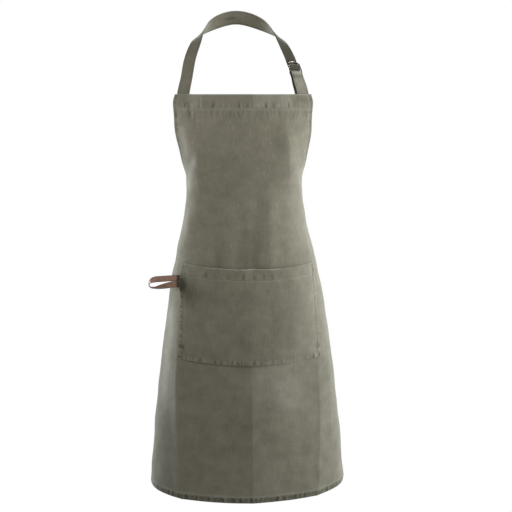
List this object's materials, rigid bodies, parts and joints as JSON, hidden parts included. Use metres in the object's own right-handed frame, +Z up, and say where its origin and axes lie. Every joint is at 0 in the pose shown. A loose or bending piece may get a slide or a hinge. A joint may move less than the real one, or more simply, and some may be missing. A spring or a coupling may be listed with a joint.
{
  "type": "chef apron",
  "caption": "Bib apron of washed canvas in its worn form, with a wide patch pocket, a leather towel loop and a neck strap that adjusts through a metal slider.",
  "frame": {"origin": "middle of the neck strap behind the neck, on its centre line, where the apron hangs", "axes": "+Z up, the wearer's front faces -Y, +X to the right as seen from the front"},
  "size_m": [0.4293, 0.2369, 1.0412],
  "materials": {
    "canvas": "stone-washed cotton canvas, matt, grey-olive",
    "metal": "satin nickel plate",
    "leather": "waxed brown leather, raw edges"
  },
  "bodies": {
    "root": {"apron_body": "canvas", "front_pocket": "canvas", "neck_strap": "canvas", "strap_tab": "canvas", "strap_slider": "metal", "leather_loop": "leather"}
  },
  "joints": []
}
